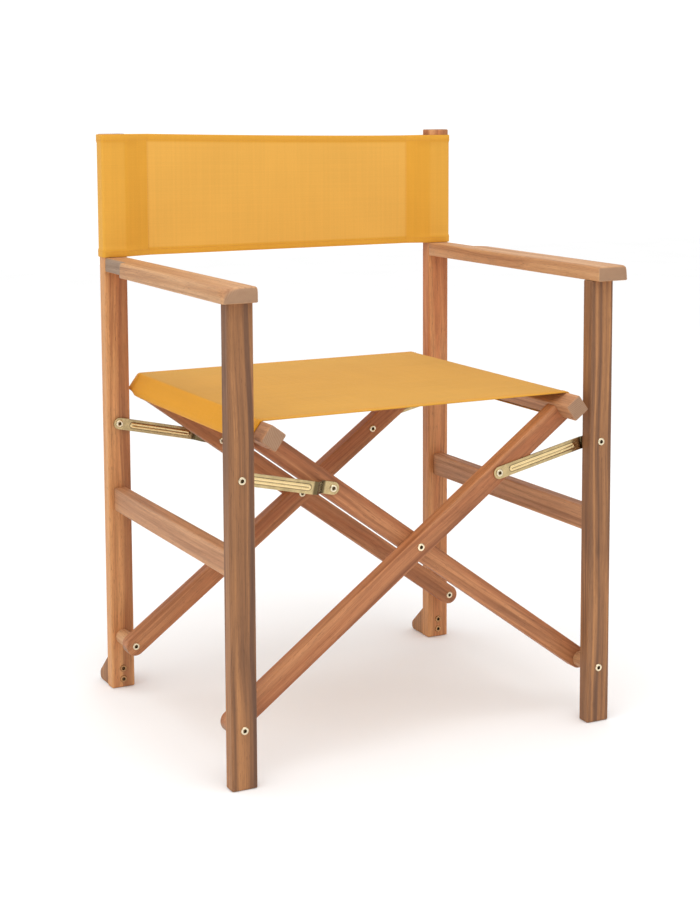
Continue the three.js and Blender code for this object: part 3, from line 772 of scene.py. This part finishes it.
def back_shade(distance):
    """Painted shade, for less light through two thicknesses, is deepest off the post, less on it.
    """
    on_post = smooth((distance - sleeve_start - BACK_SEAM) / POST_SOFT)
    shade_share = smooth((distance - sleeve_start) / EDGE_SOFT + 0.5)
    return shade_share * (1 + (POST_SHADE - 1) * on_post)


def back_space(side):
    """The back cloth's top edge climbs towards the left post, and its bottom edge is level."""
    def to_space(point, along):
        x = side * min(point.x, seam_x)
        share = (along - cloth_low.z) / (cloth_high.z - cloth_low.z)
        climb = BACK_CLIMB * max(0.0, (seam_x - x) / (2 * seam_x)) ** 1.5
        return Vector((side * point.x, point.y, along + climb * share))
    return to_space


def seam_place(facing):
    """The place on the back's path beside the seam, on its front (-1) or rear (1) layer."""
    return min((p for p in back_path if p[2].y * facing > 0),
               key=lambda p: abs(p[1].x - seam_x - STITCH_IN))


for side, word in ((-1, "left"), (1, "right")):
    sheet = Sheet(back_path, cloth_low.z, cloth_high.z, BACK_HEM, back_bulge, back_space(side))
    half = sheet.build("back_cloth_panel_" + word, canvas_back, back_shade)
    lines = sheet.hem_lines(lambda p: True)
    lines += [sheet.seam_line(seam_place(facing)) for facing in (-1, 1)]
    sewn = stitches("back_stitching_" + word, lines, sewing)
    for part in (half, sewn):
        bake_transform(part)
    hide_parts("back_half_" + word, "back_sleeve_" + word)


# ---------------------------------------------------------------------------------------------
# Links: pressed strips with rounded ends, a step from one layer to the other, and a long bead
# ---------------------------------------------------------------------------------------------
def link_layers(word):
    """The Y of a link's front face where it lies on its leg, and where it lies on its bar."""
    place, side = word.split("_")
    leg_low, leg_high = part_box("leg_" + word)
    bar_low, bar_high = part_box(f"bar_{place}_rising_{side}")
    if place == "front":
        return leg_high.y + LINK_OFF_LEG, bar_low.y - LINK_OFF_BAR - LINK_THICK
    return leg_low.y - LINK_OFF_LEG - LINK_THICK, bar_high.y + LINK_OFF_BAR


def bead(u, v, bead_from, bead_to):
    """The bead's height at a place on a link, as a share of BEAD_HIGH, and the light painted there:
    1 for a painted highlight on its crests, below 0 for painted shade in its channel and at its
    foot."""
    off = math.hypot(max(bead_from + BEAD_HALF - u, u - bead_to + BEAD_HALF, 0), v)
    high = 1 - smooth((off - BEAD_HALF) / BEAD_SLOPE) - BEAD_DIP * (1 - smooth(off / BEAD_HALF))
    foot = math.exp(-((off - BEAD_HALF - BEAD_SLOPE) / BEAD_FOOT_SHADE) ** 2)
    channel = 1 - smooth(off / (BEAD_HALF * BEAD_CHANNEL))
    return high, BEAD_HIGHLIGHT * (high - foot - channel)


def link(word):
    step_from, bead_from, bead_to = LINK_SHAPES[word]
    leg_layer, bar_layer = link_layers(word)
    rise = bar_layer - leg_layer
    step_to = step_from + max(abs(rise), LINK_STEP)
    start, end = centre("link_bolt_" + word), centre("link_screw_" + word)
    run = Vector((end.x - start.x, 0, end.z - start.z))
    length, run = run.length, run.normalized()
    across = Vector((-run.z, 0, run.x))

    # Stations along the link, closer together round its ends
    ends = [LINK_HALF_WIDE * math.cos(math.pi / 2 * k / LINK_END_ROWS)
            for k in range(1, LINK_END_ROWS + 1)]
    count = math.ceil(length / LINK_PITCH)
    stations = [-e for e in ends] + [length * k / count for k in range(1, count)]
    stations += [length + e for e in ends[::-1]]
    verts, faces, highlight_shade = [], [], []
    for u in stations:
        half = math.sqrt(LINK_HALF_WIDE ** 2 - max(-u, u - length, 0) ** 2)
        layer = leg_layer + rise * smooth((u - step_from) / (step_to - step_from))
        stepping = min(u - step_from + LINK_STEP, step_to + LINK_STEP / 2 - u) / LINK_STEP
        for k in range(LINK_ROWS + 1):
            v = half * (2 * k / LINK_ROWS - 1)
            high, look = bead(u, v, bead_from, bead_to)
            # Painted highlight and shade on the bead, and painted shade on the step.
            highlight_shade.append(look - STEP_SHADE * smooth(stepping * 1.5))
            at = start + run * u + across * v
            verts.append((at.x, layer + LINK_THICK / 2 - BEAD_HIGH * high, at.z))
    for j in range(len(stations) - 1):
        for k in range(LINK_ROWS):
            a = j * (LINK_ROWS + 1) + k
            faces.append((a, a + 1, a + LINK_ROWS + 2, a + LINK_ROWS + 1))
    seed = len(word) + (-1 if word.endswith("left") else 1)
    made = piece("strap_" + word, verts, faces,
                 zinc("zinc_strap_" + word, seed, PLATE, pressed=True))
    made.data.attributes.new("highlight_shade", "FLOAT", "POINT").data.foreach_set("value", highlight_shade)
    thicken(made, LINK_THICK)
    edge = made.modifiers.new("edge", "BEVEL")
    edge.width, edge.segments, edge.limit_method = LINK_EDGE, 2, "ANGLE"
    edge.angle_limit = math.radians(50)
    finish_mesh(made, 50)
    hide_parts("link_" + word)
    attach(made, body_of["link_" + word])


for word in LINK_SHAPES:
    link(word)


# ---------------------------------------------------------------------------------------------
# Fasteners: domed button heads with a hexagon socket, and hexagon nuts
# ---------------------------------------------------------------------------------------------
def hexagon(half):
    """A hexagon that is half wide from its middle to a flat, as its radius at an angle."""
    return lambda angle: half / math.cos((angle + math.pi / 6) % (math.pi / 3) - math.pi / 6)


def circle(radius):
    return lambda angle: radius


def turned(name, node, rings, tone, closed=False, socket=None):
    """A turned solid about the node's Y axis, from rings of (y, radius at an angle). Its socket,
    given as (mouth's y, radius), is darker: painted shade in its hollow."""
    middle = centre(node)
    angles = [math.tau * k / TURNED_SIDES for k in range(TURNED_SIDES)]
    loops = [[(middle.x + radius(t) * math.cos(t), y, middle.z + radius(t) * math.sin(t))
              for t in angles] for y, radius in rings]
    made = lofted(name, loops, zinc("zinc_" + node, len(name) * 7 + len(rings), tone),
                  closed)
    if socket:
        mouth, reach = socket
        # Painted shade inside the socket.
        made.data.materials.append(zinc("zinc_socket_shade_" + node, len(name), SOCKET_SHADE))
        for polygon in made.data.polygons:
            from_axis = math.hypot(polygon.center.x - middle.x, polygon.center.z - middle.z)
            if polygon.center.y > mouth and from_axis < reach:
                polygon.material_index = 1
    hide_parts(node)
    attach(made, body_of[node])


def bolt(node):
    low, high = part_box(node)
    face, tip, head = low.y, high.y, (high.x - low.x) / 2
    on_link = node.startswith(("link_bolt_rear", "link_screw_front"))
    thin = node.startswith(("link_screw", "link_bolt_rear", "foot_screw"))
    shank = SCREW_RADIUS if thin else BOLT_RADIUS
    under = face + HEAD_PROUD + (0 if on_link else HEAD_SINK)
    mouth, floor = face + SOCKET_MOUTH, min(face + SOCKET_FLOOR, under - SOCKET_WALL)
    soft = 0.0001
    rings = [(floor, hexagon(SOCKET_HALF * 0.5)), (floor + soft, hexagon(SOCKET_HALF * 0.94)),
             (floor - soft, hexagon(SOCKET_HALF)), (mouth, hexagon(SOCKET_HALF))]
    rings += [(face + depth, circle(head * share)) for depth, share in HEAD_PROFILE]
    rings += [(under, circle(head)), (under, circle(shank)),
              (tip - TIP_BEVEL, circle(shank)), (tip, circle(shank - TIP_BEVEL))]
    tone = FOOT_PLATE if node.startswith("foot_screw") else HEAD_PLATE
    turned(node + "_turned", node, rings, tone, socket=(mouth, head * 0.6))


def nut(node, bore):
    low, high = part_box(node)
    front, back, flats = low.y, high.y, (high.x - low.x) / 2
    rings = [(front + NUT_BEVEL, circle(bore)), (front, circle(bore + NUT_BEVEL)),
             (front, circle(flats * 0.97)), (front + NUT_BEVEL, hexagon(flats)),
             (back - NUT_BEVEL, hexagon(flats)), (back, circle(flats * 0.97)),
             (back, circle(bore + NUT_BEVEL)), (back - NUT_BEVEL, circle(bore))]
    turned(node + "_turned", node, rings, PLATE, closed=True)


for name in sorted(nodes):
    if "bolt" in name or "screw" in name:
        bolt(name)
    elif "nut" in name:
        nut(name, (BOLT_RADIUS if "centre" in name else SCREW_RADIUS) + BORE_GAP)


# ---------------------------------------------------------------------------------------------
# Armrests: rounded front corners, softened edges, and a narrow sawn neck
# ---------------------------------------------------------------------------------------------
def between(start, end, count):
    """Points between start and end, with neither of them."""
    return [start.lerp(end, k / count) for k in range(1, count)]


def shoulder(start, end, count):
    """Points along a soft S from an armrest's outer edge, at start, to its neck, at end."""
    leave = Vector((start.x, end.y - ARM_STEP / 3))
    arrive = Vector((end.x + ARM_STEP / 4, end.y - ARM_STEP / 4))
    return [start * (1 - t) ** 3 + leave * 3 * t * (1 - t) ** 2 + arrive * 3 * t * t * (1 - t)
            + end * t ** 3 for t in (k / count for k in range(count + 1))]


def arm_outline(low, high, inset, inner_round, outer_round):
    """The right armrest's plan at one height, with the same number of points at every height."""
    left, right, front, rear = (low.x + inset, high.x - inset, low.y + inset, high.y - ARM_REAR_GAP)
    neck, neck_end = post_high.x - ARM_NECK_IN - inset, rear - ARM_NECK
    edge_start = Vector((right, front + outer_round))
    edge_end = Vector((right, neck_end - ARM_STEP))
    inner_start = Vector((left, front + inner_round))
    plan = bend(inner_start, Vector((left, front)), Vector((left + inner_round, front)), 10)
    plan += bend(Vector((right - outer_round, front)), Vector((right, front)), edge_start, 10)
    plan += between(edge_start, edge_end, 12)
    plan += shoulder(edge_end, Vector((neck, neck_end)), 14)
    plan += [Vector((neck, rear)), Vector((left, rear))]
    plan += between(Vector((left, rear)), inner_start, 16)
    return plan


neck_wood = wood("wood_neck", BACK, 7, TONES["grey"], 0.3)
for side, word in ((-1, "left"), (1, "right")):
    node = "armrest_" + word
    low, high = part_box("armrest_right")
    rings = []
    for share, inset, inner_round, *outer_rounds in ARM_LEVELS:
        plan = arm_outline(low, high, inset, inner_round, outer_rounds[side > 0])
        rings.append([(side * p.x, p.y, low.z + (high.z - low.z) * share) for p in plan])
    arm = lofted(node + "_shaped", rings, timber[node], sharp=30)
    arm.data.materials.append(neck_wood)
    for polygon in arm.data.polygons:
        on_neck = polygon.center.y > high.y - ARM_NECK - ARM_STEP
        if on_neck and polygon.normal.x * side > 0.6:
            polygon.material_index = 1
    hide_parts(node)
    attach(arm, body_of[node])

# ---------------------------------------------------------------------------------------------
# Stage
# ---------------------------------------------------------------------------------------------
FLOOR_SIZE, FLOOR_DROP = 14, 0.0005
BACKDROP = 1.1
DOME_FROM, DOME_TO = (-0.1, 0.50), (1.0, 1.60)  # how high in the sky, and how bright
SOFTBOXES = {  # place, what it points at, side, power
    "key": ((-0.6, -1.2, 3.0), (0, 0, 0.4), 2.2, 26),
    "front": ((0.8, -3.4, 1.6), (0, 0, 0.5), 2.4, 8),
    "left": ((-3.2, -0.6, 1.4), (0, 0, 0.5), 2.0, 10),
}


def light_sky(scene):
    """The backdrop is white. The light it gives is brighter from above than from the sides."""
    world = bpy.data.worlds.new("studio")
    scene.world = world
    world.use_nodes = True
    sky = world.node_tree
    backdrop = sky.nodes["Background"]
    backdrop.inputs["Color"].default_value = (1, 1, 1, 1)
    backdrop.inputs["Strength"].default_value = BACKDROP
    dome, both = sky.nodes.new("ShaderNodeBackground"), sky.nodes.new("ShaderNodeMixShader")
    height, fall = sky.nodes.new("ShaderNodeSeparateXYZ"), sky.nodes.new("ShaderNodeMapRange")
    sky.links.new(sky.nodes.new("ShaderNodeTexCoord").outputs["Generated"], height.inputs[0])
    sky.links.new(height.outputs["Z"], fall.inputs["Value"])
    for end, (level, strength) in (("Min", DOME_FROM), ("Max", DOME_TO)):
        fall.inputs["From " + end].default_value = level
        fall.inputs["To " + end].default_value = strength
    sky.links.new(fall.outputs["Result"], dome.inputs["Strength"])
    sky.links.new(sky.nodes.new("ShaderNodeLightPath").outputs["Is Camera Ray"], both.inputs[0])
    sky.links.new(dome.outputs[0], both.inputs[1])
    sky.links.new(backdrop.outputs[0], both.inputs[2])
    sky.links.new(both.outputs[0], sky.nodes["World Output"].inputs["Surface"])


def lay_floor():
    bpy.ops.mesh.primitive_plane_add(size=FLOOR_SIZE, location=(0, 0, -FLOOR_DROP))
    floor = bpy.context.object
    floor.name = "floor"
    g = Graph("floor")
    speck = g.noise(g.times(g.add("TexCoord", out="Object"), (4, 4, 4)))
    pale = g.mix(g.ramp(speck, 0.3, 0.7), (0.97, 0.97, 0.97, 1), (0.99, 0.99, 0.99, 1))
    g.look(Base_Color=pale, Roughness=0.9, Specular_IOR_Level=0.0)
    floor.data.materials.append(g.mat)


def softbox(name, place, target, size, power):
    light = bpy.data.lights.new(name, "AREA")
    light.shape, light.size, light.energy = "SQUARE", size, power
    made = bpy.data.objects.new(name, light)
    made.location = place
    made.rotation_euler = (Vector(target) - Vector(place)).to_track_quat("-Z", "Y").to_euler()
    bpy.context.scene.collection.objects.link(made)


scene = bpy.context.scene
scene.view_settings.view_transform = "Standard"
light_sky(scene)
lay_floor()
for name, values in SOFTBOXES.items():
    softbox(name, *values)

# ---------------------------------------------------------------------------------------------
# Camera
# ---------------------------------------------------------------------------------------------
CAMERA_PLACE = (-1.19037, -2.34659, 0.91360)
YAW, PITCH, ROLL = 0.4721, -0.1119, -0.0041
LENS_MM, SENSOR_MM, SHIFT_Y = 71.164, 36, -0.17
CLIP_NEAR, CLIP_FAR = 0.05, 50

camera = bpy.data.objects.new("camera", bpy.data.cameras.new("camera"))
scene.collection.objects.link(camera)
scene.camera = camera
right = Vector((math.cos(YAW), -math.sin(YAW), 0))
ahead = Vector((math.sin(YAW) * math.cos(PITCH), math.cos(YAW) * math.cos(PITCH), math.sin(PITCH)))
up = right.cross(ahead)
right, up = (right * math.cos(ROLL) + up * math.sin(ROLL),
             up * math.cos(ROLL) - right * math.sin(ROLL))
camera.matrix_world = Matrix.Translation(CAMERA_PLACE) @ Matrix(
    (right, up, -ahead)).transposed().to_4x4()
camera.data.sensor_width, camera.data.lens, camera.data.shift_y = SENSOR_MM, LENS_MM, SHIFT_Y
camera.data.clip_start, camera.data.clip_end = CLIP_NEAR, CLIP_FAR
